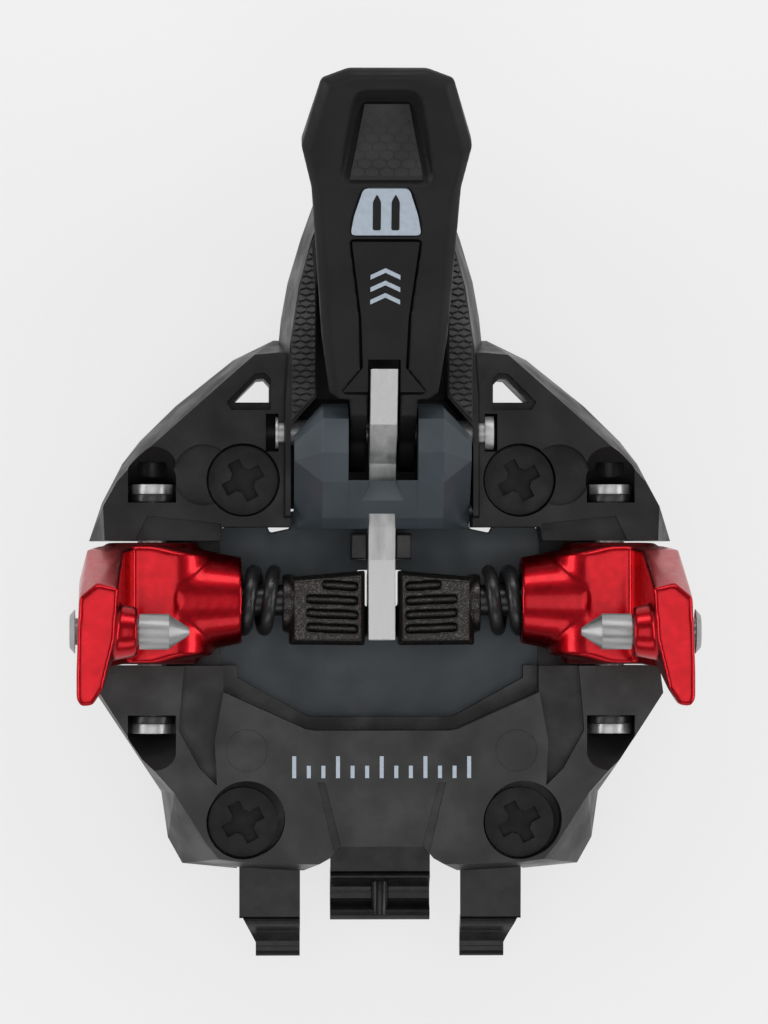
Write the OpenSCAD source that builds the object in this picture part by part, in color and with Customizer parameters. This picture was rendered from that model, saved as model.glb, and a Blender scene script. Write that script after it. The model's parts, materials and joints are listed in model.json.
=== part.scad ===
// Toe unit of a pin touring binding, in millimetres.
// +Y points to the ski tip, +X to the right, +Z up.
// The origin is the centre of the four-screw pattern on the underside of the base.

/* [Ski screws] */
// Screw pattern across the ski
screw_dx = 38; // [34:0.5:40]
// Screw pattern along the ski
screw_dy = 47; // [44:0.5:50]
// Radius of a ski screw's shank
shank_r = 2.75; // [2:0.05:3]
// Length of the shank below the base
shank_len = 10; // [6:0.5:14]

/* [Wings] */
// Distance of each wing's pivot axle from the middle
axle_x = 31.5; // [30:0.5:33]
// Height of the pivot axles
axle_z = 11; // [10:0.5:11.5]
// Radius of a boot pin
pin_r = 2.4; // [2:0.05:2.6]
// Height of the boot pins above the base
pin_z = 34; // [32:0.5:36]
// Distance of a boot pin's tip from the middle
pin_tip_x = 26.3; // [24:0.1:27]

/* [Lever] */
// Position of the lever pin along the ski
lever_y = 30; // [29:0.5:31]
// Height of the lever pin
lever_z = 13; // [12:0.5:14]
// Slope of the lever's top in the ski position, in degrees
lever_slope = 25; // [20:1:28]
// Thickness of the lock blade
blade_t = 3.7; // [3:0.1:4]

/* [Hidden] */
$fn = 48;
eps = 0.01;
fit = 0.05;            // radial play of a shaft in its bore

// Heights shared by the two housings
deck_z = 14.2;         // deck of the housings
plate_t = 2;           // floor plate
head_r = 4.75;         // screw head
head_seat_z = 8;       // seat of a screw head
head_top_z = 11.2;
head_gap = 0.3;        // play round a screw head
recess_depth = 1.7;    // cross recess in a screw head
inner_shank_r = 2.5;   // shank inside the base

// Wing pivots
axle_r = 2;
bush_r = 3;
axle_y0 = -11.3;       // rear end of an axle
axle_y1 = 22.9;        // front end of an axle
cap_r = 2.8;           // heads on an axle's ends
cap_t = 1.3;
washer_t = 1.1;
arm_y0 = -1.6;
arm_y1 = 14.4;
barrel_r = 6.4;

// Spring pack between a wing and its trigger block
rod_y = 7;
rod_z = 11.5;
rod_r = 2.2;
spring_r = 5.1;        // outer radius of the coil
wire_r = 1.05;
chamber_r = 5.4;
chamber_x = 24.5;      // bottom of the spring chamber
flange_x = 13.6;       // outer face of a trigger block's flange

// Boot pins
pin_y = 2.8;
pin_shoulder_x = 33;   // the pin is thinner beyond this, where it sits in the wing
pin_seat_r = pin_r - 0.6;

// Lever, wedge and blade turn about the lever pin
pivot_r = 1.75;
wedge_r = 14.1;         // radius round the pin that the wedge needs
lever_top = 11;        // lever's top above the pin, square to the top
slot_w = blade_t + 0.7;
slot_r = 18.9;         // radius round the pin that the blade needs in the lever

// The outline with its corners rounded off over a length r of each side
function toward(p, q, r) = p + (q - p) * min(r / norm(q - p), 0.48);
function soft(pts, r, n = 4) =
    [for (i = [0 : len(pts) - 1])
        let (p = pts[i],
             a = toward(p, pts[(i + len(pts) - 1) % len(pts)], r),
             b = toward(p, pts[(i + 1) % len(pts)], r))
        for (k = [0 : n])
            let (t = k / n)
            a * (1 - t) * (1 - t) + p * 2 * t * (1 - t) + b * t * t];

function mirrored(pts) = concat(pts, [for (i = [len(pts) - 1 : -1 : 0]) [-pts[i][0], pts[i][1]]]);

// A plate with the given plan between two heights
module slab(pts, z0, z1) {
    translate([0, 0, z0]) linear_extrude(z1 - z0) polygon(pts);
}

// A cylinder along X that starts at x0
module rod_x(x0, x1, y, z, r) {
    translate([x0, y, z]) rotate([0, 90, 0]) cylinder(h = x1 - x0, r = r);
}

// A cylinder along Y that starts at y0
module rod_y(y0, y1, x, z, r) {
    translate([x, y1, z]) rotate([90, 0, 0]) cylinder(h = y1 - y0, r = r);
}

// A profile in the Y-Z plane made thick along X
module blade(pts, w) {
    translate([-w / 2, 0, 0]) rotate([90, 0, 90]) linear_extrude(w) polygon(pts);
}

module both_sides() {
    children();
    mirror([1, 0, 0]) children();
}

module at_screws(rows = [-1, 1]) {
    for (sx = [-1, 1])
        for (sy = rows)
            translate([sx * screw_dx / 2, sy * screw_dy / 2, 0]) children();
}

module screw_hole() {
    translate([0, 0, -1]) cylinder(h = deck_z + 8, r = shank_r + 0.25);
    translate([0, 0, head_seat_z]) cylinder(h = 12, r = head_r + head_gap);
}

// Recess for the floor plate under both housings
module plate_recess() {
    translate([-25.2, -12.2, -1]) cube([50.4, 30, 1 + plate_t + 0.02]);
    translate([-12.7, 10, -1]) cube([25.4, 9.7, 1 + plate_t + 0.02]);
}

front_foot = [[14.8, 43], [17.5, 41.4], [20.3, 40.3], [28.3, 33.9], [33.3, 29], [35.7, 25.9],
              [38.5, 20.5], [40.3, 15.2]];
front_deck = [[14.2, 41], [17.4, 40.7], [20.2, 38.3], [28, 30.8], [33, 26.9], [36.3, 23.3],
              [38.2, 19.9], [38, 15.2]];
nose_foot = [[14.3, 17.2], [14.2, 41], [13.7, 46], [12.8, 51], [11, 57], [9.2, 62], [5.4, 65.4]];
nose_top = [[13.2, 18.6], [13.2, 34], [12.6, 42], [11.4, 50], [9.6, 56.6], [7.8, 61.4], [5, 63.8]];

// Pocket over an axle's end, with a trough that runs out to the deck over a length of run
module axle_pocket(wall_y, end_y, run) {
    half_w = 3.3;
    y0 = min(wall_y, end_y);
    translate([axle_x - half_w, y0, axle_z - half_w])
        cube([2 * half_w, abs(end_y - wall_y), 20]);
    hull() {
        rod_y(y0, y0 + abs(end_y - wall_y), axle_x, axle_z, half_w);
        rod_y(end_y + run, end_y + run + 0.1, axle_x, deck_z + half_w, half_w);
        rod_y(end_y, end_y + 0.1, axle_x, deck_z + half_w + 4, half_w);
    }
}

// Front half of the base, with the ramp under the lever
module front_housing() {
    color([0.1, 0.1, 0.1]) difference() {
        union() {
            hull() {
                slab(mirrored(front_foot), 0, 5);
                slab(mirrored(front_deck), 0, deck_z);
            }
            hull() {
                slab(mirrored(nose_foot), 0, 7);
                slab(mirrored(nose_top), 0, 16.5);
            }
            // Lip under the wing's barrel
            both_sides() translate([22, 11, 0]) cube([11.6, 6, 3.4]);
        }
        // Rear edge, stepped round the spring packs
        slab(mirrored([[22.2, 10], [22.2, 15.3], [21.8, 17.1]]), -1, 30);
        // Well for the wedge, and a trough for the lever's legs
        slab(mirrored([[12.5, 14], [12.5, 30.8], [8.9, 34.9]]), plate_t + 0.02, 30);
        slab(mirrored([[9, 34], [9, 50], [7, 58]]), 3, 30);
        plate_recess();
        at_screws([1]) screw_hole();
        both_sides() {
            // Lightening hole in the shoulder, with a ledge behind it
            slab([[15.4, 34.2], [20.4, 34.2], [17.2, 37.4], [16.2, 37.5], [15.4, 36.6]], -1, 30);
            slab([[15.2, 33.1], [20.6, 33.1], [21.3, 34.2], [17.4, 38.1], [16, 38.2], [15.2, 37.4]],
                 12, 30);
            // Step in the deck beside the wing
            slab([[22, 15], [33.9, 15], [32.2, 18.6], [25, 17.9], [22, 17.5]], deck_z - 0.8, 30);
            // Scoop beside the screw
            translate([24.4, 24.2, deck_z - 2.2]) cylinder(h = 9, r = 4.2);
            axle_pocket(20.4, 23, 5);
            rod_y(14, 26, axle_x, axle_z, axle_r + fit);
        }
        rod_x(-14.5, 14.5, lever_y, lever_z, pivot_r + fit);
        // Open pockets for the lever pin's heads
        both_sides() hull() {
            rod_x(14.15, 15.9, lever_y, lever_z, 2.6);
            rod_x(14.15, 15.9, lever_y, lever_z + 5, 2.6);
        }
    }
}

rear_split_y = -19.5;
rear_foot_wide = [[38.8, -2], [39.4, -5.8], [35, -11.8], [30.3, rear_split_y]];
rear_deck_wide = [[38.2, -2], [38.7, -5.7], [35, -11.4], [33.4, -13.9], [30.4, -16.9],
                  [28.4, rear_split_y]];
rear_foot_tail = [[30.3, rear_split_y], [29.4, -25.8], [27.4, -29.4], [19.3, -30.2], [11.2, -30.7]];
rear_deck_tail = [[28.4, rear_split_y], [24.1, -26.3], [22.3, -28.5], [19.3, -28.9], [11.6, -29.2]];
valley = [[27, -1], [27.7, -9], [27.8, -10.9], [25, -16], [22.6, -18.4], [22.9, -12.4],
          [21.7, -5.6], [21.7, -1]];

// Rear half of the base, which also holds the crampon holder down
module rear_housing() {
    color([0.1, 0.1, 0.1]) difference() {
        union() {
            hull() {
                slab(mirrored(rear_foot_wide), 0, 4);
                slab(mirrored(rear_deck_wide), 0, deck_z);
            }
            hull() {
                slab(mirrored(rear_foot_tail), 0, 4);
                slab(mirrored(rear_deck_tail), 0, deck_z);
            }
            // Lip under the wing's barrel
            both_sides() translate([22, -4, 0]) cube([11.6, 6, 3.4]);
        }
        // Window over the mechanism, and the valley round the raised middle panel
        slab(mirrored([[19.8, 0], [19.8, -3.7], [10.4, -8.9], [9.6, -9.1]]), plate_t + 0.02, 30);
        slab(mirrored([[21.7, 0], [21.7, -5.6], [10.4, -10.7], [9.2, -10.9]]), 6, 30);
        both_sides() slab(valley, deck_z - 2.4, 30);
        // Counterbores are wider than the heads, towards the right and the front
        at_screws([-1]) translate([0.5, 0.45, head_seat_z]) cylinder(h = 12, r = head_r + 0.5);
        // Notch in the middle of the tail
        slab(mirrored([[11.4, -32], [11.2, -30.7], [7.1, -28.4], [5.8, -26.8]]), -1, 30);
        plate_recess();
        // Room for the crampon holder
        translate([-19.8, -32, -1]) cube([39.6, 11.2, 1 + 6.2]);
        at_screws([-1]) screw_hole();
        both_sides() {
            axle_pocket(-8.8, -11.5, -4.9);
            rod_y(-10, -1, axle_x, axle_z, axle_r + fit);
            // Groove that runs back to the tail's notch, and a round mould mark
            slab([[8.8, -18], [7.8, -18], [5.4, -27.4], [6.6, -27.4]], deck_z - 0.5, 30);
            translate([18.5, -13.6, deck_z - 0.15]) cylinder(h = 3, r = 2.9);
        }
    }
}

// Floor of the mechanism's well
module floor_plate() {
    color([0.25, 0.28, 0.3]) difference() {
        slab(mirrored([[12.45, 19.4], [12.45, 17], [15.2, 16.4], [15.7, 17.5], [21, 17.5], [25, 15],
                       [25, -7.6], [20.4, -12]]), 0, plate_t);
        translate([-3.2, 3, -1]) cube([6.4, 8.2, 5]);
    }
}

// Profile of a hook that a crampon's bar slides under, and of the catch between the hooks
hook_profile = concat([[-22, 6], [-22, 4]],
                      soft([[-36.2, 4], [-38.6, 0.5], [-42.4, 0.9], [-42.4, 2.9], [-39.6, 2.4],
                            [-37.4, 6]], 1.5));
catch_profile = concat([[-21, 6], [-21, 4]],
                       soft([[-29.8, 4], [-31, 0.6], [-36.6, 0.6], [-37.6, 3.6], [-35.8, 4.2],
                             [-35, 2.6], [-32.6, 2.6], [-31.2, 6]], 1.2));

// Pressed sheet-steel holder for a ski crampon
module crampon_holder() {
    color([0.06, 0.06, 0.07]) difference() {
        union() {
            both_sides() translate([15.3, 0, 0]) blade(hook_profile, 8.4);
            blade(catch_profile, 13.8);
            rod_y(-36.6, -32, 0, 3, 1.2);
            translate([-19.5, -26.4, 4]) cube([39, 5.4, 2]);
        }
        at_screws([-1]) cylinder(h = 20, r = shank_r + 0.25);
        both_sides() slab([[20, -43], [17.2, -43], [17.2, -40.5], [19, -37], [20, -37]], -1, 9);
    }
}

module mounting_screws() {
    color([0.07, 0.07, 0.07]) at_screws() difference() {
        union() {
            translate([0, 0, -shank_len]) cylinder(h = shank_len - 0.5, r = shank_r);
            translate([0, 0, -1]) cylinder(h = head_seat_z + 1.4, r = inner_shank_r);
            translate([0, 0, -shank_len - 2]) cylinder(h = 2, r1 = 0.6, r2 = shank_r);
            translate([0, 0, head_seat_z + 0.02])
                cylinder(h = head_top_z - head_seat_z, r = head_r);
        }
        // Cross recess
        for (a = [28, 118]) rotate([0, 0, a])
            translate([-2.9, -0.9, head_top_z - recess_depth]) cube([5.8, 1.8, 4]);
        translate([0, 0, head_top_z - recess_depth]) cylinder(h = 4, r = 1.7);
    }
}

// Steel axle with a head at each end
module axle() {
    color([0.75, 0.76, 0.78]) {
        rod_y(axle_y0, axle_y1, axle_x, axle_z, axle_r);
        rod_y(axle_y0, axle_y0 + cap_t, axle_x, axle_z, cap_r);
        rod_y(axle_y1 - cap_t, axle_y1, axle_x, axle_z, cap_r);
    }
}

module axle_right() { axle(); }
module axle_left() { mirror([1, 0, 0]) axle(); }

// Black washers between the axles' heads and the housings
module axle_washers() {
    color([0.05, 0.05, 0.05]) both_sides()
        for (y = [axle_y0 + cap_t + 0.02, axle_y1 - cap_t - washer_t - 0.02]) difference() {
            rod_y(y, y + washer_t, axle_x, axle_z, 3.1);
            rod_y(y - 1, y + 2, axle_x, axle_z, axle_r + fit);
        }
}

module lever_pin() {
    color([0.8, 0.81, 0.83]) {
        rod_x(-14.3, 14.3, lever_y, lever_z, pivot_r);
        rod_x(14.18, 15.4, lever_y, lever_z, 2.35);
        rod_x(-14.55, -14.18, lever_y, lever_z, 2.2);
    }
}

// Scaled rubber strips let into the top of the ramp
module side_grips() {
    color([0.16, 0.16, 0.16]) both_sides()
        slab([[9.2, 35], [12.4, 31.6], [12.4, 43], [11.1, 51], [9.6, 56], [8.2, 58], [9.2, 50]],
             16.52, 17.1);
}

// Two upright cheeks that guide the blade
module blade_guide() {
    color([0.08, 0.08, 0.08]) both_sides()
        translate([2, 12.6, plate_t + 0.02]) cube([2.1, 3.6, 11.2]);
}

// Wedge profiles beside the lever's legs, on the ridge, and on the outer flank
wedge_ridge = [[16.8, 11], [16.8, 17.4], [18.2, 19.6], [23, 24.6], [27, 26.1], [31.6, 26.2],
               [33, 24], [34, 13], [30, 8.4], [22, 8.4]];
wedge_inner = [for (p = wedge_ridge) [p[0], p[1] > 15 ? p[1] - 1.3 : p[1]]];
wedge_flank = [[16.8, 10], [16.8, 12.2], [26, 22.2], [28.4, 22.4], [29.4, 20], [29.6, 13],
               [28.4, 8.4], [25, 8.4]];
wedge_bar = [[16.8, 11], [16.8, 16.1], [18.2, 18.3], [23.3, 23.4], [23.3, 11]];

// Saddle that joins the blade to the lever pin and stops the lever
module lock_wedge() {
    color([0.27, 0.3, 0.33]) difference() {
        union() {
            both_sides() {
                hull() {
                    translate([4.8, 0, 0]) blade(wedge_inner, 0.1);
                    translate([8.2, 0, 0]) blade(wedge_ridge, 0.1);
                }
                hull() {
                    translate([8.2, 0, 0]) blade(wedge_ridge, 0.1);
                    translate([12, 0, 0]) blade(wedge_flank, 0.1);
                }
            }
            blade(wedge_bar, 9.7);
        }
        // Flat notch in the cross bar
        slab(mirrored([[3, 20.4], [1.8, 23.4]]), 20.7, 40);
        translate([-blade_t / 2 - 0.02, 10, 0]) cube([blade_t + 0.04, 20, 18.9]);
        rod_x(-20, 20, lever_y, lever_z, pivot_r + fit);
    }
}

blade_side = [[38.2, 26.6], [38.2, 29.6], [30.8, 25.6], [25.6, 19.4], [17, 16.6], [12.5, 15.6],
              [1.5, 15.6], [1.5, 11.5], [7, 11.5], [7, 7], [2.2, 7], [2.2, 4.8], [10.4, 4.8],
              [11.8, 9.6], [25, 8.6], [30, 8.2], [34.5, 11.5]];

// Steel blade whose fork lifts and locks the trigger blocks
module lock_blade() {
    color([0.85, 0.86, 0.86]) difference() {
        blade(blade_side, blade_t);
        rod_x(-5, 5, lever_y, lever_z, pivot_r + fit);
    }
}

// Places its children, drawn along the lever, into the ski position
module on_lever() {
    translate([0, lever_y, lever_z]) rotate([lever_slope, 0, 0]) children();
}

lever_plan = [[7.4, 10.2], [8.5, 18.5], [9.5, 33.7], [10, 40], [11.4, 46], [8.8, 55.4], [5.2, 56.8]];
lever_under = [[6.6, 14], [7.6, 19], [8.5, 34], [9, 40.5], [10.2, 46], [8, 52.7], [5, 53.9]];
lever_edge = [for (p = lever_plan) p[1] > 50 ? [p[0] - 0.2, p[1] - 1.8] : p];
inlay_plan = [[6, 10.4], [3.2, 14], [3.5, 22], [4.85, 32.9]];
label_plan = [[4.9, 33.4], [4.45, 36.4], [3.2, 40.4]];
dish_plan = [[6.3, 40.9], [5.6, 47], [4.6, 52.8], [3.6, 54.2]];
dish_deep = mirrored([[3.5, 50.8], [3.3, 51.8]]);
dish_shallow = mirrored([[5.2, 41.1], [5.1, 41.8]]);

// Rows of an outline between two distances along the lever
function rows(pts, y0, y1) = [for (p = pts) if (p[1] >= y0 && p[1] <= y1) p];

// The head or the shaft of the lever, bevelled above and below
module paddle(y0, y1) {
    plan = rows(lever_plan, y0, y1);
    hull() {
        slab(mirrored(rows(lever_edge, y0, y1)), lever_top - 4, lever_top - 2);
        slab(mirrored(plan), lever_top - 2, lever_top - 0.9);
        slab(mirrored([for (p = plan) [p[0] - 1.3, p[1] - 0.6]]), lever_top - 2, lever_top);
        slab(mirrored(rows(lever_under, y0, y1)), lever_top - 6.5, lever_top - 3);
    }
}

// Paddle with two legs on the lever pin
module toe_lever() {
    color([0.09, 0.09, 0.09]) difference() {
        union() {
            on_lever() {
                paddle(0, 40.6);
                paddle(39.9, 60);
            }
            on_lever() blade([[-1, -5.3], [3.2, -4], [22, lever_top - 5.5], [20, lever_top - 3],
                              [10.2, lever_top - 0.2], [7.4, 11], [-5, 0]], 9);
            rod_x(-4.5, 4.5, lever_y, lever_z, 5.4);
        }
        on_lever() {
            slab(mirrored(inlay_plan), lever_top - 1.2, lever_top + 3);
            slab(soft(mirrored(label_plan), 0.8), lever_top - 0.9, lever_top + 3);
            // Dish for the thumb, deepest near the tip
            hull() {
                slab(dish_deep, lever_top - 2.8, lever_top);
                slab(dish_shallow, lever_top - 0.6, lever_top);
                slab(soft(mirrored(dish_plan), 1.2), lever_top - 0.3, lever_top + 3);
            }
        }
        rod_x(-slot_w / 2, slot_w / 2, lever_y, lever_z, slot_r);
        rod_x(-20, 20, lever_y, lever_z, pivot_r + fit);
        // Clearance for the wedge beside the legs
        both_sides() rod_x(4.6, 20, lever_y, lever_z, wedge_r);
    }
}

module lever_inlay() {
    color([0.07, 0.07, 0.07]) difference() {
        on_lever() slab(mirrored([for (p = inlay_plan) [p[0] - 0.3, p[1] + (p[1] < 20 ? 0.3 : -0.3)]]),
                        lever_top - 1.18, lever_top - 0.05);
        rod_x(-slot_w / 2, slot_w / 2, lever_y, lever_z, slot_r);
        both_sides() rod_x(4.6, 20, lever_y, lever_z, wedge_r);
    }
}

module mode_label() {
    color([0.72, 0.77, 0.83]) on_lever()
        slab(soft(mirrored([for (p = label_plan) [p[0] - 0.15, p[1] + (p[1] < 34 ? 0.15 : -0.15)]]), 0.7),
             lever_top - 0.88, lever_top - 0.05);
}

module thumb_pad() {
    color([0.13, 0.13, 0.13]) on_lever() hull() {
        slab(mirrored([[3.2, 50.8], [3, 51.5]]), lever_top - 2.7, lever_top - 2.35);
        slab(mirrored([[4.95, 41.4], [4.85, 42]]), lever_top - 0.55, lever_top - 0.2);
    }
}

wing_root = [[33, 14.4], [38.6, 14.4], [39.2, 12], [38.8, 1], [36.6, -1.2], [33, -1.2]];
wing_waist = [[35.2, 13.9], [40.2, 13.9], [41.3, 9.5], [41.3, 0], [37.8, -2.2], [36, 1], [35.2, 6]];
wing_top = [[35.7, 8.5], [38.6, 9.2], [41, 7.2], [41.35, -3], [41.35, -6.2], [40.7, -7.2], [39.2, -7],
            [37.8, -4.8], [36.3, 1.5]];

// Wing: a barrel on the axle, a spring chamber towards the middle, and a raised horn for the pin
module arm() {
    color([0.75, 0.05, 0.07]) difference() {
        union() {
            rod_y(arm_y0 - 0.15, arm_y1 + 0.5, axle_x, axle_z, barrel_r);
            translate([axle_x - 3.5, rod_y, rod_z]) rotate([0, -90, 0])
                cylinder(h = axle_x - 22.5, r1 = 7.6, r2 = 5.9);
            // Shoulder over the barrel
            hull() {
                rod_y(arm_y0, arm_y1, axle_x + 1.2, axle_z + 3.2, 4.6);
                rod_y(arm_y0 + 1.2, arm_y1 - 1, 29.2, axle_z + 1.6, 6.2);
            }
            // Horn, in a lower and an upper part
            hull() {
                slab(wing_root, 9, 16);
                slab(wing_waist, 20.5, 22);
            }
            hull() {
                slab(wing_waist, 20.5, 22);
                slab(wing_top, 35, 38.6);
            }
            // Boss round the boot pin
            translate([pin_shoulder_x + 0.2, pin_y, pin_z]) rotate([0, 90, 0])
                cylinder(h = 6, r1 = 3.3, r2 = 4.4);
        }
        rod_y(arm_y0 - 1, arm_y1 + 1, axle_x, axle_z, bush_r);
        rod_x(18, chamber_x, rod_y, rod_z, chamber_r);
        rod_x(chamber_x - 1, 27.4, rod_y, rod_z, rod_r + fit);
        rod_x(30, 45, pin_y, pin_z, pin_seat_r);
    }
}

module arm_right() { arm(); }
module arm_left() { mirror([1, 0, 0]) arm(); }

// Hardened pin with a conical tip and a riveted outer end
module boot_pin() {
    tip_base_x = 29;
    color([0.6, 0.6, 0.6]) {
        rod_x(tip_base_x, pin_shoulder_x, pin_y, pin_z, pin_r);
        rod_x(pin_shoulder_x - 1, 41.8, pin_y, pin_z, pin_seat_r);
        translate([pin_tip_x, pin_y, pin_z]) rotate([0, 90, 0])
            cylinder(h = tip_base_x - pin_tip_x, r1 = 0.5, r2 = pin_r - 0.15);
        translate([41.62, pin_y, pin_z]) rotate([0, 90, 0]) cylinder(h = 0.7, r1 = 3, r2 = 2.2);
    }
}

module boot_pin_right() { boot_pin(); }
module boot_pin_left() { mirror([1, 0, 0]) boot_pin(); }

// A plain bush at each end of a wing's barrel
module bushings() {
    color([0.8, 0.65, 0.35])
        for (y = [arm_y0 + 0.1, arm_y1 - 5.1]) difference() {
            rod_y(y, y + 5, axle_x, axle_z, bush_r);
            rod_y(y - 1, y + 6, axle_x, axle_z, axle_r + fit);
        }
}

module bushings_right() { bushings(); }
module bushings_left() { mirror([1, 0, 0]) bushings(); }

trigger_plan = [[2.3, 0.8], [12.7, 0.9], [12.7, 10.2], [2.3, 11.1]];

// Half of the sole trigger, with a rounded nose that meets its partner
module trigger() {
    color([0.2, 0.19, 0.19]) difference() {
        union() {
            hull() {
                slab(trigger_plan, 8.6, 14.6);
                slab([[2.9, 1.5], [12, 1.6], [12, 9.6], [2.9, 10.4]], 8, 15.6);
            }
            rod_x(12, flange_x, rod_y - 0.4, rod_z, 4);
            rod_y(2.1, 6.1, 1.9, 9.2, 1.4);
            translate([1.9, 2.1, 7.9]) cube([3, 4, 2.6]);
        }
        // Slots in the top, the front one shorter
        for (i = [0 : 3])
            let (y = 3 + 1.95 * i, x1 = i == 3 ? 8.2 : 10.4)
            slab(soft([[3.2, y - 0.6], [x1, y - 0.3], [x1, y + 0.9], [3.2, y + 0.6]], 0.6), 14.3, 17);
        rod_x(6, 20, rod_y, rod_z, rod_r);
    }
}

module trigger_right() { trigger(); }
module trigger_left() { mirror([1, 0, 0]) trigger(); }

// Rod that guides a spring and slides in the wing
module push_rod() {
    color([0.7, 0.71, 0.73]) rod_x(6.02, 26.2, rod_y, rod_z, rod_r);
}

module push_rod_right() { push_rod(); }
module push_rod_left() { mirror([1, 0, 0]) push_rod(); }

// Coil: rings of points around the wire, swept along a helix
turns = 3.1;
coil_steps = 18;       // sections in one turn
wire_sides = 8;
coil_x0 = flange_x + wire_r + 0.05;
coil_x1 = chamber_x - wire_r - 0.05;
coil_r = spring_r - wire_r;
ring_count = round(turns * coil_steps);
function coil_point(i, j) =
    let (a = 360 * i / coil_steps, b = 360 * j / wire_sides, r = coil_r + wire_r * cos(b))
    [coil_x0 + (coil_x1 - coil_x0) * i / ring_count + wire_r * sin(b),
     rod_y + r * cos(a), rod_z + r * sin(a)];

module spring() {
    points = [for (i = [0 : ring_count]) for (j = [0 : wire_sides - 1]) coil_point(i, j)];
    walls = [for (i = [0 : ring_count - 1]) for (j = [0 : wire_sides - 1])
        let (k = (j + 1) % wire_sides, a = i * wire_sides)
        [a + j, a + k, a + wire_sides + k, a + wire_sides + j]];
    first_cap = [for (j = [wire_sides - 1 : -1 : 0]) j];
    last_cap = [for (j = [0 : wire_sides - 1]) ring_count * wire_sides + j];
    color([0.07, 0.07, 0.07])
        polyhedron(points = points, faces = concat(walls, [first_cap, last_cap]), convexity = 10);
}

module spring_right() { spring(); }
module spring_left() { mirror([1, 0, 0]) spring(); }

front_housing();
rear_housing();
floor_plate();
crampon_holder();
mounting_screws();
axle_left();
axle_right();
axle_washers();
lever_pin();
side_grips();
blade_guide();
lock_wedge();
lock_blade();
toe_lever();
lever_inlay();
mode_label();
thumb_pad();
arm_left();
arm_right();
boot_pin_left();
boot_pin_right();
bushings_left();
bushings_right();
trigger_left();
trigger_right();
push_rod_left();
push_rod_right();
spring_left();
spring_right();
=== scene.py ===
"""Looks of a touring binding's toe unit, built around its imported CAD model."""
import json
import math

import bmesh
import bpy
from mathutils import Matrix, Vector


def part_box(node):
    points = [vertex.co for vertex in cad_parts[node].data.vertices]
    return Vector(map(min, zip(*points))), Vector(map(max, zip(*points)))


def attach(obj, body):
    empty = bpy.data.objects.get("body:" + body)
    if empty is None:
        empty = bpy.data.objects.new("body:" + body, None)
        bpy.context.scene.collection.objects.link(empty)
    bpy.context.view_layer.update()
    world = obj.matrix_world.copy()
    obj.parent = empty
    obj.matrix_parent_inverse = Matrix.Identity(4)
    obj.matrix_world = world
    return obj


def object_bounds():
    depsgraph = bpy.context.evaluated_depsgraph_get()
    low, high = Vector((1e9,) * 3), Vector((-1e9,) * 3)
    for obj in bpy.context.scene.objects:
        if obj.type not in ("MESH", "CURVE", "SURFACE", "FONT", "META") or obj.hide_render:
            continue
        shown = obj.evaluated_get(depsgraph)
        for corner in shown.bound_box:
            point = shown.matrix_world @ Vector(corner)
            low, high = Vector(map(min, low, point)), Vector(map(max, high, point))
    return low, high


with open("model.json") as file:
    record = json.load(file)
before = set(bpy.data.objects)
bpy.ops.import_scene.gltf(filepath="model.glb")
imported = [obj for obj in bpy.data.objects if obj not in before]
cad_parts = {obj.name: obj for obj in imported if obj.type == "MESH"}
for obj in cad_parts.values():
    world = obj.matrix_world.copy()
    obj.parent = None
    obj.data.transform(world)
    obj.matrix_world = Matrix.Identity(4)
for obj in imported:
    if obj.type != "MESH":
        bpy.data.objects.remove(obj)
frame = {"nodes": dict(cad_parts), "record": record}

MM = 0.001
NODES = frame["nodes"]
cad_box = [list(corner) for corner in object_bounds()]


# ---------------------------------------------------------------- camera and light

# Where the camera is and what it looks at, in millimetres
CAMERA_EYE = (-23, 7, 900)
CAMERA_TARGET = (0.7, 19.3, 0)
CAMERA_LENS = 227
WORLD_LIGHT = 0.22
FLOOR_GLOW = 0.76
FLOOR_REACH = 3.0      # metres from the middle to an edge
# What the softboxes point at, in metres
LAMP_TARGET = Vector((0, 0.01, 0.01))
# name, place in metres, size in metres, watts
SOFTBOXES = [("top_softbox", (0.0, -0.1, 1.4), (1.0, 0.8), 4),
             ("front_softbox", (0.05, 0.95, 0.62), (1.2, 0.4), 5),
             ("back_softbox", (0.0, -0.95, 0.62), (1.2, 0.4), 2.5),
             ("left_softbox", (-1.0, 0.05, 0.55), (0.4, 1.0), 4.5),
             ("right_softbox", (1.0, 0.0, 0.55), (0.4, 1.0), 4.5)]


def look_from(eye, target):
    """A matrix at eye that looks at target, with +Y up in the picture."""
    forward = (target - eye).normalized()
    right = Vector((1, 0, 0))
    right = (right - forward * right.dot(forward)).normalized()
    up = right.cross(forward)
    return Matrix.Translation(eye) @ Matrix((right, up, -forward)).transposed().to_4x4()


def add_camera():
    data = bpy.data.cameras.new("camera")
    data.sensor_width = 36
    data.lens = CAMERA_LENS
    data.clip_end = 10
    camera = bpy.data.objects.new("camera", data)
    camera.matrix_world = look_from(Vector(CAMERA_EYE) * MM, Vector(CAMERA_TARGET) * MM)
    bpy.context.collection.objects.link(camera)
    bpy.context.scene.camera = camera


def add_softbox(name, eye, size, power):
    data = bpy.data.lights.new(name, "AREA")
    data.shape = "RECTANGLE"
    data.size, data.size_y = size
    data.energy = power
    lamp = bpy.data.objects.new(name, data)
    lamp.matrix_world = look_from(Vector(eye), LAMP_TARGET)
    bpy.context.collection.objects.link(lamp)


def add_studio():
    world = bpy.data.worlds.new("studio")
    world.use_nodes = True
    background = world.node_tree.nodes["Background"]
    background.inputs["Color"].default_value = (0.93, 0.94, 0.95, 1)
    background.inputs["Strength"].default_value = WORLD_LIGHT
    bpy.context.scene.world = world
    for name, eye, size, power in SOFTBOXES:
        add_softbox(name, eye, size, power)
    bpy.context.scene.view_settings.view_transform = "Standard"


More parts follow.
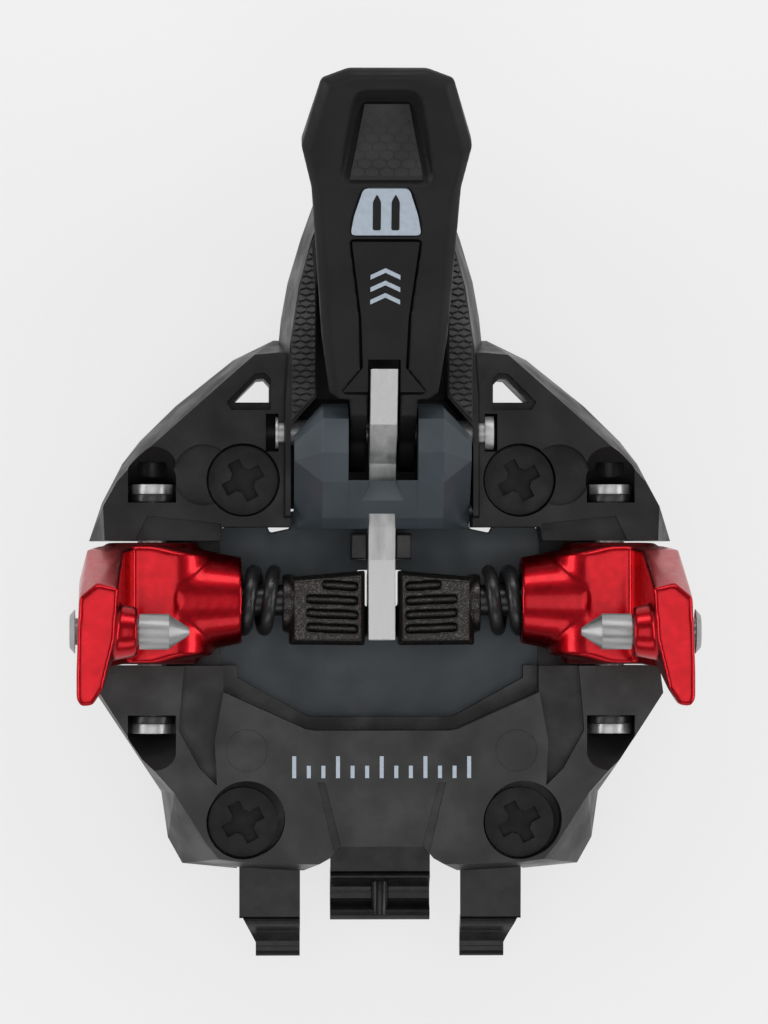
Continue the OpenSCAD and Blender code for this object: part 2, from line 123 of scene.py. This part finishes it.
def add_floor():
    low = cad_box[0][2]
    corners = [(x * FLOOR_REACH, y * FLOOR_REACH, low) for x, y in ((-1, -1), (1, -1), (1, 1), (-1, 1))]
    mesh = bpy.data.meshes.new("floor")
    mesh.from_pydata(corners, [], [(0, 1, 2, 3)])
    floor = bpy.data.objects.new("floor", mesh)
    bpy.context.collection.objects.link(floor)
    # The paper glows, as a lit backdrop does, so that shadows on it stay faint
    paint = Paint("floor_paper", (0.2, 0.2, 0.2), 0.9, specular=0.1)
    paint.shader.inputs["Emission Color"].default_value = (0.9, 0.9, 0.9, 1)
    paint.shader.inputs["Emission Strength"].default_value = FLOOR_GLOW
    paint.bump(paint.noise(900), 0.02)
    mesh.materials.append(paint.material)


# ---------------------------------------------------------------- materials

COAT_ROUGHNESS = 0.12
# name: dark and light colour, roughness, height of the grain in millimetres, specular level
PLASTICS = {
    "black_plastic": ((0.0115, 0.0110, 0.0108), (0.0215, 0.0206, 0.0202), 0.42, 0.02, 0.42),
    # A darker copy of black_plastic for the front housing: painted shade, since its deck tilts away from
    # the light
    "shaded_front_plastic": ((0.0090, 0.0087, 0.0086), (0.0170, 0.0164, 0.0161), 0.40, 0.02, 0.22),
    "lever_plastic": ((0.0085, 0.0083, 0.0085), (0.0125, 0.0122, 0.0124), 0.52, 0.012, 0.24),
    "inlay_plastic": ((0.0075, 0.0073, 0.0074), (0.0110, 0.0108, 0.0109), 0.46, 0.008, 0.22),
    "pad_rubber": ((0.0110, 0.0107, 0.0106), (0.0190, 0.0184, 0.0180), 0.36, 0.014, 0.34),
    "wedge_plastic": ((0.040, 0.053, 0.062), (0.052, 0.067, 0.078), 0.36, 0.008, 0.40),
    "floor_plastic": ((0.095, 0.112, 0.125), (0.118, 0.138, 0.153), 0.50, 0.01, 0.30),
}
# name: roughness, coat, brightness against plain black, specular level
COATED_STEELS = {
    "coated_steel": (0.24, 0.0, 0.6, 0.26),
    "screw_steel": (0.50, 0.0, 1.3, 0.20),
    "washer_black": (0.40, 0.1, 1.0, 0.50),
    "spring_steel": (0.30, 0.1, 1.0, 0.40),
}
# name: shade, roughness, stretch of the grinding lines, metallic
BRIGHT_METALS = {
    "zinc_steel": (0.62, 0.42, (1, 0.06, 1), 0.7),
    "pin_steel": (0.44, 0.42, (0.2, 1, 1), 0.85),
    "bronze": (0.50, 0.40, (1, 1, 1), 1.0),
}


class Paint:
    """A Principled material with a few shorthand ways to add texture."""

    def __init__(self, name, color, roughness, metallic=0.0, coat=0.0, specular=0.5):
        self.material = bpy.data.materials.new(name)
        self.material.use_nodes = True
        self.tree = self.material.node_tree
        self.shader = self.tree.nodes["Principled BSDF"]
        self.shader.inputs["Base Color"].default_value = (*color, 1)
        self.shader.inputs["Roughness"].default_value = roughness
        self.shader.inputs["Metallic"].default_value = metallic
        self.shader.inputs["Coat Weight"].default_value = coat
        self.shader.inputs["Coat Roughness"].default_value = COAT_ROUGHNESS
        self.shader.inputs["Specular IOR Level"].default_value = specular
        self.coords = self.tree.nodes.new("ShaderNodeTexCoord").outputs["Object"]
        self.last_bump = None

    def stretched(self, scale):
        """Coordinates scaled by a different factor along each axis."""
        node = self.tree.nodes.new("ShaderNodeMapping")
        node.inputs["Scale"].default_value = scale
        self.tree.links.new(self.coords, node.inputs["Vector"])
        return node.outputs["Vector"]

    def noise(self, scale, detail=3.0, stretch=None):
        node = self.tree.nodes.new("ShaderNodeTexNoise")
        node.inputs["Scale"].default_value = scale
        node.inputs["Detail"].default_value = detail
        coords = self.stretched(stretch) if stretch else self.coords
        self.tree.links.new(coords, node.inputs["Vector"])
        return node.outputs["Fac"]

    def span(self, value, low, high, start, stop):
        """The value with its range from start to stop mapped to low to high."""
        node = self.tree.nodes.new("ShaderNodeMapRange")
        node.inputs["From Min"].default_value = start
        node.inputs["From Max"].default_value = stop
        node.inputs["To Min"].default_value = low
        node.inputs["To Max"].default_value = high
        self.tree.links.new(value, node.inputs["Value"])
        return node.outputs["Result"]

    def vary_color(self, value, low, high, start=0.3, stop=0.7):
        node = self.tree.nodes.new("ShaderNodeValToRGB")
        node.color_ramp.elements[0].position = start
        node.color_ramp.elements[1].position = stop
        node.color_ramp.elements[0].color = (*low, 1)
        node.color_ramp.elements[1].color = (*high, 1)
        self.tree.links.new(value, node.inputs["Fac"])
        self.tree.links.new(node.outputs["Color"], self.shader.inputs["Base Color"])

    def vary_roughness(self, value, low, high, start=0.3, stop=0.7):
        roughness = self.span(value, low, high, start, stop)
        self.tree.links.new(roughness, self.shader.inputs["Roughness"])

    def bump(self, value, height_mm):
        """Adds a bump on top of the bumps there already."""
        node = self.tree.nodes.new("ShaderNodeBump")
        node.inputs["Distance"].default_value = height_mm * MM
        self.tree.links.new(value, node.inputs["Height"])
        if self.last_bump:
            self.tree.links.new(self.last_bump, node.inputs["Normal"])
        self.last_bump = node.outputs["Normal"]
        self.tree.links.new(self.last_bump, self.shader.inputs["Normal"])


def moulded(name, dark, light, roughness, grain_mm, specular):
    """Moulded plastic: fine grain, faint flow marks and uneven gloss."""
    paint = Paint(name, dark, roughness, specular=specular)
    paint.vary_color(paint.noise(110, 5), dark, light, 0.35, 0.65)
    paint.vary_roughness(paint.noise(190, 5), roughness - 0.08, roughness + 0.12, 0.35, 0.65)
    paint.bump(paint.noise(5200, 2), grain_mm)
    paint.bump(paint.noise(420, 2), grain_mm * 1.5)
    return paint.material


def anodised():
    """Glossy red anodising over soft cast forms."""
    dark = (0.40, 0.0035, 0.009)
    light = (0.50, 0.006, 0.014)
    paint = Paint("red_anodised", dark, 0.3, metallic=1.0, coat=0.25)
    paint.vary_color(paint.noise(260, 4), dark, light)
    paint.vary_roughness(paint.noise(900, 4), 0.26, 0.36)
    paint.bump(paint.noise(3200, 3), 0.003)
    return paint.material


def ground(name, shade, roughness, stretch, metallic):
    """Ground metal with fine lines that are darker and duller in places."""
    bright = (shade, shade, shade * 1.01)
    paint = Paint(name, bright, roughness, metallic=metallic)
    lines = paint.noise(900, 5, stretch)
    paint.vary_roughness(lines, roughness - 0.08, roughness + 0.12)
    paint.vary_color(lines, (shade * 0.72,) * 3, bright)
    paint.bump(lines, 0.01)
    return paint.material


def coated(name, roughness, coat, shade, specular):
    """Black coated or phosphated steel."""
    dark = [c * shade for c in (0.010, 0.010, 0.011)]
    light = [c * shade for c in (0.020, 0.020, 0.021)]
    paint = Paint(name, dark, roughness, coat=coat, specular=specular)
    paint.vary_color(paint.noise(350, 4), dark, light)
    paint.vary_roughness(paint.noise(500, 3), roughness - 0.05, roughness + 0.08)
    paint.bump(paint.noise(1500, 3), 0.012)
    return paint.material


def cast():
    """Dark cast metal whose crystals glitter."""
    dark = (0.022, 0.020, 0.019)
    light = (0.13, 0.12, 0.112)
    paint = Paint("cast_metal", dark, 0.4, metallic=0.8)
    grains = paint.noise(6000, 2)
    paint.vary_color(grains, dark, light, 0.5, 0.8)
    paint.vary_roughness(grains, 0.42, 0.28)
    paint.bump(grains, 0.014)
    return paint.material


def printed(name, color):
    """Satin ink, a little uneven."""
    paint = Paint(name, color, 0.45)
    paint.vary_color(paint.noise(1400, 2), [c * 0.93 for c in color], [c * 1.05 for c in color])
    paint.vary_roughness(paint.noise(700, 2), 0.4, 0.52)
    paint.bump(paint.noise(4000, 2), 0.006)
    return paint.material


def make_materials():
    """All materials, by the name of the slot or the variant."""
    made = {name: moulded(name, *values) for name, values in PLASTICS.items()}
    made.update({name: coated(name, *values) for name, values in COATED_STEELS.items()})
    made.update({name: ground(name, *values) for name, values in BRIGHT_METALS.items()})
    made["label"] = printed("label_print", (0.43, 0.50, 0.58))
    made["red_aluminium"] = anodised()
    made["cast_metal"] = cast()
    return made


# ---------------------------------------------------------------- CAD nodes that stay

# Nodes painted with a darker copy of their slot's material: painted shade on the front housing, whose
# deck tilts away from the light
SHADED_COPIES = {"front_housing": "shaded_front_plastic"}
# Radius of the rounded edges in millimetres
BEVEL_MM = {"front_housing": 0.35, "rear_housing": 0.35, "floor_plate": 0.3, "crampon_holder": 0.7,
            "mounting_screws": 0.2, "lock_wedge": 0.4, "lock_blade": 0.15, "lever_inlay": 0.2,
            "mode_label": 0.08, "thumb_pad": 0.2, "side_grips": 0.1, "blade_guide": 0.3,
            "lever_pin": 0.3, "axle_left": 0.3, "axle_right": 0.3, "axle_washers": 0.1,
            "boot_pin_left": 0.12, "boot_pin_right": 0.12}
# Pieces with soft edges all over: voxel in millimetres, rounds of smoothing
SOFTEN = {"arm_left": (0.3, 9), "arm_right": (0.3, 9), "trigger_left": (0.2, 7),
          "trigger_right": (0.2, 7), "toe_lever": (0.32, 5)}
SMOOTH_COILS = ("spring_left", "spring_right")
WELD_MM = 0.002


def weld(node):
    """Joins the CAD mesh's doubled points."""
    modifier = node.modifiers.new("weld", "WELD")
    modifier.merge_threshold = WELD_MM * MM


def round_edges(node, width):
    weld(node)
    bevel = node.modifiers.new("bevel", "BEVEL")
    bevel.width = width * MM
    bevel.segments = 3
    bevel.limit_method = "ANGLE"
    bevel.angle_limit = math.radians(28)
    bevel.use_clamp_overlap = True
    bevel.harden_normals = True


def soften(node, voxel, rounds):
    remesh = node.modifiers.new("remesh", "REMESH")
    remesh.mode = "VOXEL"
    remesh.voxel_size = voxel * MM
    remesh.use_smooth_shade = True
    smooth = node.modifiers.new("smooth", "SMOOTH")
    smooth.factor = 0.5
    smooth.iterations = rounds


def smooth_coil(node):
    weld(node)
    fine = node.modifiers.new("fine", "SUBSURF")
    fine.levels = 2
    fine.render_levels = 2


def dress_nodes(materials):
    """Gives each CAD node its material and its soft or rounded edges."""
    slots = {row["node"]: row["material_slot"] for row in frame["record"]["subparts"]}
    for name, node in NODES.items():
        node.data.materials.clear()
        # The front housing takes its darker copy of the black plastic, which is painted shade
        node.data.materials.append(materials[SHADED_COPIES.get(name, slots[name])])
        if name in BEVEL_MM:
            round_edges(node, BEVEL_MM[name])
        if name in SOFTEN:
            soften(node, *SOFTEN[name])
        if name in SMOOTH_COILS:
            smooth_coil(node)


# ---------------------------------------------------------------- pieces made here

# The lever at rest, and its top above its pin in millimetres, square to the slope
LEVER_SLOPE = math.radians(25)
LEVER_TOP = 11
# The floor of the lever's dish falls 2.15 mm in 9 mm, from 41.9 mm in front of the pin
PAD_SLOPE = math.atan2(-2.15, 9.0)
PAD_START = (0, 41.9, LEVER_TOP - 0.2)
pin_low, pin_high = (Vector(corner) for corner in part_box("lever_pin"))
PIN_MIDDLE = (pin_low + pin_high) / 2
ON_LEVER = (Matrix.Translation(Vector((0, PIN_MIDDLE.y, PIN_MIDDLE.z)))
            @ Matrix.Rotation(LEVER_SLOPE, 4, "X"))
ON_PAD = ON_LEVER @ Matrix.Translation(Vector(PAD_START) * MM) @ Matrix.Rotation(PAD_SLOPE, 4, "X")
ON_BASE = Matrix.Identity(4)


def rounded(corners, radius, steps):
    """The outline with each corner replaced by an arc-like curve."""
    points = []
    count = len(corners)
    for i, corner in enumerate(corners):
        here = Vector(corner)
        before = Vector(corners[i - 1])
        after = Vector(corners[(i + 1) % count])
        start = here + (before - here).normalized() * min(radius, (before - here).length / 2)
        stop = here + (after - here).normalized() * min(radius, (after - here).length / 2)
        for k in range(steps + 1):
            t = k / steps
            points.append(start * (1 - t) ** 2 + here * 2 * t * (1 - t) + stop * t ** 2)
    return points


def add_plate(mesh, outline, bottom, top, place):
    """A prism over the outline, in millimetres. top is a height, or one height for each corner."""
    tops = top if isinstance(top, list) else [top] * len(outline)
    lower = [mesh.verts.new(place @ (Vector((*p, bottom)) * MM)) for p in outline]
    upper = [mesh.verts.new(place @ (Vector((*p, z)) * MM)) for p, z in zip(outline, tops)]
    mesh.faces.new(list(reversed(lower)))
    mesh.faces.new(upper)
    for i in range(len(outline)):
        mesh.faces.new((lower[i - 1], lower[i], upper[i], upper[i - 1]))


def finish_piece(name, mesh, material, body, bevel=0.0):
    """Turns the mesh into an object that rides on a body."""
    bmesh.ops.recalc_face_normals(mesh, faces=mesh.faces)
    data = bpy.data.meshes.new(name)
    mesh.to_mesh(data)
    mesh.free()
    piece = bpy.data.objects.new(name, data)
    bpy.context.collection.objects.link(piece)
    data.materials.append(material)
    if bevel:
        round_edges(piece, bevel)
    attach(piece, body)


def inside(point, outline):
    """True if the point is inside the outline."""
    hit = False
    for i, (x1, y1) in enumerate(outline):
        x0, y0 = outline[i - 1]
        if (y0 > point[1]) != (y1 > point[1]):
            if point[0] < x0 + (x1 - x0) * (point[1] - y0) / (y1 - y0):
                hit = not hit
    return hit


def trim(mesh, outline, place):
    """Cuts away what sticks out of the convex outline, and closes the cuts."""
    middle = sum((Vector(p) for p in outline), Vector((0, 0))) / len(outline)
    for i, end in enumerate(outline):
        start = Vector(outline[i - 1])
        along = Vector(end) - start
        outward = Vector((along.y, -along.x))
        if outward.dot(start - middle) < 0:
            outward = -outward
        everything = mesh.verts[:] + mesh.edges[:] + mesh.faces[:]
        cut = bmesh.ops.bisect_plane(mesh, geom=everything,
                                     plane_co=place @ (start.to_3d() * MM),
                                     plane_no=place.to_3x3() @ outward.to_3d(), clear_outer=True)
        edges = [item for item in cut["geom_cut"] if isinstance(item, bmesh.types.BMEdge)]
        bmesh.ops.holes_fill(mesh, edges=edges)


def add_scales(mesh, outline, pitch, row, lift, base, place):
    """Staggered six-sided scales cut to the outline, each higher at its rear edge."""
    low_y = min(p[1] for p in outline)
    high_y = max(p[1] for p in outline)
    reach = int(max(abs(p[0]) for p in outline) / pitch) + 1
    half_w = pitch * 0.47
    half_h = row * 0.62
    shoulder = half_h * 0.45
    scale = [(-half_w, -shoulder), (0, -half_h), (half_w, -shoulder),
             (half_w, shoulder), (0, half_h), (-half_w, shoulder)]
    tops = [base + lift * (0.55 - y / (2 * half_h)) for x, y in scale]
    for j in range(int((high_y - low_y) / row) + 1):
        middle_y = low_y + row * (j + 0.5)
        for i in range(-reach, reach + 1):
            middle_x = pitch * (i + 0.5 * (j % 2))
            tile = [(middle_x + x, middle_y + y) for x, y in scale]
            if any(inside(p, outline) for p in tile):
                add_plate(mesh, tile, base - 0.2, tops, place)
    trim(mesh, outline, place)


def mirrored(points):
    return points + [(-x, y) for x, y in reversed(points)]


def make_thumb_scales(materials):
    """Scales on the sloping floor of the lever's dish."""
    mesh = bmesh.new()
    pad = mirrored([(4.8, 0.1), (3.1, 9.2)])
    add_scales(mesh, pad, 1.95, 1.15, 0.3, 0, ON_PAD)
    finish_piece("thumb_scales", mesh, materials["pad_rubber"], "lever", 0.08)


def make_grip_scales(materials):
    """Scales on the strips beside the lever."""
    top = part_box("side_grips")[1][2] / MM
    strip = [(9.2, 35.3), (12.3, 32.1), (12.3, 43), (11.0, 50.9), (9.6, 55.8), (9.2, 50)]
    for side, sign in (("left", -1), ("right", 1)):
        mesh = bmesh.new()
        outline = [(x * sign, y) for x, y in strip]
        add_scales(mesh, outline, 1.6, 0.8, 0.45, top - 0.05, ON_BASE)
        finish_piece(f"grip_scales_{side}", mesh, materials["pad_rubber"], "base", 0.06)


def make_mode_sign(materials):
    """A plain pair of bars for skis on the lever's label."""
    mesh = bmesh.new()
    half_w = 0.55
    for x in (-1.25, 1.25):
        bar = [(x - half_w, 34.3), (x + half_w, 34.3), (x + half_w, 38.4), (x, 39.5), (x - half_w, 38.4)]
        add_plate(mesh, rounded(bar, 0.3, 3), LEVER_TOP - 0.2, LEVER_TOP - 0.03, ON_LEVER)
    finish_piece("mode_sign", mesh, materials["inlay_plastic"], "lever")


def make_lever_print(materials):
    """Three plain chevrons on the lever."""
    mesh = bmesh.new()
    half_w = 2
    line = 0.65
    for y in (24.6, 26.4, 28.2):
        chevron = [(-half_w, y - 1), (0, y), (half_w, y - 1),
                   (half_w, y - 1 + line), (0, y + line), (-half_w, y - 1 + line)]
        add_plate(mesh, chevron, LEVER_TOP - 0.1, LEVER_TOP, ON_LEVER)
    finish_piece("lever_print", mesh, materials["label"], "lever")


def make_rear_print(materials):
    """Plain ruler ticks on the rear housing, every third one longer."""
    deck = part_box("rear_housing")[1][2] / MM
    mesh = bmesh.new()
    half_w = 0.27
    foot = -17.4
    for i in range(-6, 7):
        x = i * 2.0
        head = foot + (3.0 if i % 3 == 0 else 1.7)
        tick = [(x - half_w, foot), (x + half_w, foot), (x + half_w, head), (x - half_w, head)]
        add_plate(mesh, tick, deck - 0.1, deck + 0.03, ON_BASE)
    finish_piece("rear_print", mesh, materials["label"], "base")


add_camera()
add_studio()
add_floor()
materials = make_materials()
dress_nodes(materials)
make_thumb_scales(materials)
make_grip_scales(materials)
make_mode_sign(materials)
make_lever_print(materials)
make_rear_print(materials)
